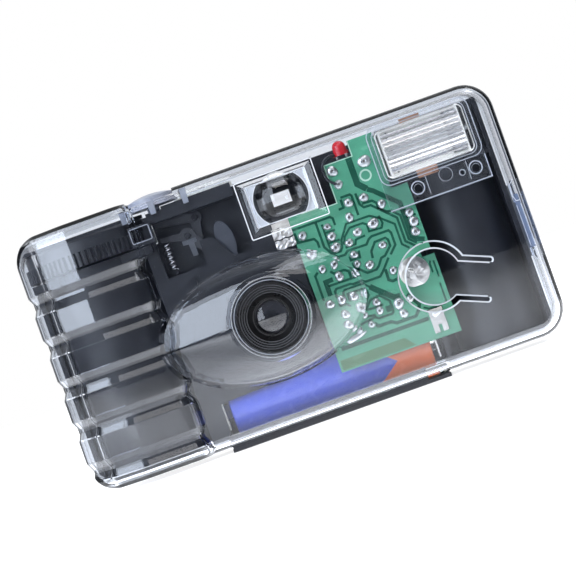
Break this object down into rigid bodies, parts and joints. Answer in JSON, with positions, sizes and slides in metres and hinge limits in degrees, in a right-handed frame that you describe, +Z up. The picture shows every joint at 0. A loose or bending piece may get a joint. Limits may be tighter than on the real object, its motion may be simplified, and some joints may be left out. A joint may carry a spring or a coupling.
{
  "type": "film camera",
  "caption": "Clear-cased single-use film camera with flash: ribbed grip, oval lens boss, block viewfinder, visible circuit board, battery and thumb wheel.",
  "frame": {"origin": "under the middle of the camera, on the plane that it stands on", "axes": "+X right as seen from the front, -Y the way that the lens looks, +Z up"},
  "size_m": [0.118, 0.036, 0.064],
  "materials": {
    "clear_case": "crystal-clear moulded polystyrene, polished",
    "clear_button": "clear, slightly bluish",
    "clear_optics": "polished optical plastic",
    "clear_flash": "ribbed clear plastic",
    "lens_plastic": "polished meniscus",
    "black_body": "black, fine satin",
    "black_rings": "black, semi-gloss",
    "black_levers": "dark grey acetal",
    "black_wheel": "black, knurled",
    "blade_steel": "blackened thin steel",
    "spring_steel": "bright wire",
    "nickel": "nickel-plated strip",
    "board_green": "green solder mask over copper tracks",
    "solder": "bright tin solder",
    "lamp_red": "red lamp",
    "reflector_silver": "bright aluminium sheet",
    "tube_glass": "glass tube",
    "copper_foil": "thin copper strip",
    "capacitor_sleeve": "dark shrink sleeve",
    "coil_winding": "taped winding",
    "component_black": "moulded",
    "component_beige": "lacquered",
    "battery_sleeve": "printed blue and orange sleeve, no words",
    "cartridge_metal": "plain painted tin",
    "film_base": "brown film",
    "spool_black": "black",
    "dial_white": "white disc with plain numbers"
  },
  "bodies": {
    "case": {"front_cover": "clear_case", "rear_cover": "clear_case", "main_body": "black_body", "top_cover": "black_body", "film_back": "black_body", "lens_holder": "black_rings", "taking_lens": "lens_plastic", "lens_retainer": "black_rings", "aperture_plate": "blade_steel", "viewfinder_front": "clear_optics", "viewfinder_eyepiece": "clear_optics", "shutter_spring": "spring_steel", "film_cartridge": "cartridge_metal", "film_strip": "film_base", "circuit_board": "board_green", "solder_joints": "solder", "ready_lamp": "lamp_red", "flash_lens": "clear_flash", "flash_reflector": "reflector_silver", "flash_tube": "tube_glass", "trigger_foil": "copper_foil", "flash_capacitor": "capacitor_sleeve", "flash_transformer": "coil_winding", "trigger_coil": "coil_winding", "transistor": "component_black", "resistors": "component_beige", "small_capacitors": "component_beige", "diode": "component_black", "sync_contact": "nickel", "flash_switch_contact": "nickel", "battery": "battery_sleeve", "battery_contact_positive": "nickel", "battery_contact_negative": "nickel"},
    "door": {"battery_door": "black_body"},
    "button": {"shutter_button": "clear_button"},
    "release": {"release_lever": "black_levers"},
    "striker": {"shutter_lever": "black_levers"},
    "blade": {"shutter_blade": "blade_steel"},
    "winder": {"thumbwheel": "black_wheel", "cartridge_spool": "spool_black"},
    "supply": {"supply_spool": "spool_black", "film_roll": "film_base"},
    "sprocket": {"sprocket_wheel": "black_levers", "winding_cam": "black_levers"},
    "counter": {"counter_dial": "dial_white"},
    "pawl": {"wind_pawl": "black_levers"},
    "flash_key": {"flash_button": "clear_case"}
  },
  "joints": [
    {"name": "winder_turn", "type": "hinge", "parent": "case", "child": "winder", "pos_m": [-0.0416, 0.0024, 0.056], "axis": [0, 0, 1], "continuous": true},
    {"name": "supply_turn", "type": "hinge", "parent": "case", "child": "supply", "pos_m": [0.044, 0.0054, 0.027], "axis": [0, 0, 1], "continuous": true},
    {"name": "sprocket_turn", "type": "hinge", "parent": "case", "child": "sprocket", "pos_m": [-0.022, 0.0081, 0.045], "axis": [0, 0, 1], "continuous": true},
    {"name": "counter_turn", "type": "hinge", "parent": "case", "child": "counter", "pos_m": [-0.012, 0.007, 0.0605], "axis": [0, 0, 1], "continuous": true},
    {"name": "pawl_swing", "type": "hinge", "parent": "case", "child": "pawl", "pos_m": [-0.0232, 0.0034, 0.0539], "axis": [0, 0, -1], "range_deg": [0, 8], "stiffness_Nm_per_rad": 0.0008},
    {"name": "button_press", "type": "slide", "parent": "case", "child": "button", "axis": [0, 0, -1], "range_m": [0, 0.001], "stiffness_N_per_m": 600, "springref_m": -0.0005},
    {"name": "release_swing", "type": "hinge", "parent": "case", "child": "release", "pos_m": [-0.0156, -0.0018, 0.0552], "axis": [0, -1, 0], "range_deg": [0, 6]},
    {"name": "striker_swing", "type": "hinge", "parent": "case", "child": "striker", "pos_m": [-0.0185, -0.00325, 0.0516], "axis": [0, -1, 0], "range_deg": [0, 22], "deforming": ["shutter_spring"]},
    {"name": "blade_swing", "type": "hinge", "parent": "case", "child": "blade", "pos_m": [-0.0105, -0.00435, 0.0435], "axis": [0, 1, 0], "range_deg": [0, 20], "stiffness_Nm_per_rad": 0.0002, "springref_deg": -5.73},
    {"name": "flash_key_press", "type": "hinge", "parent": "case", "child": "flash_key", "pos_m": [0.04443, -0.01085, 0.0183], "axis": [-0.3827, 0, -0.9239], "range_deg": [0, 2.2], "stiffness_Nm_per_rad": 0.4},
    {"name": "door_slide", "type": "slide", "parent": "case", "child": "door", "axis": [1, 0, 0], "range_m": [0, 0.005]}
  ],
  "couplings": [
    {"joint": "supply_turn", "follows": "winder_turn", "ratio": 0.66},
    {"joint": "sprocket_turn", "follows": "winder_turn", "ratio": 0.926},
    {"joint": "counter_turn", "follows": "winder_turn", "ratio": -0.030867},
    {"joint": "release_swing", "follows": "button_press", "rad_per_m": 104.72},
    {"joint": "striker_swing", "follows": "blade_swing", "ratio": 1.1}
  ]
}
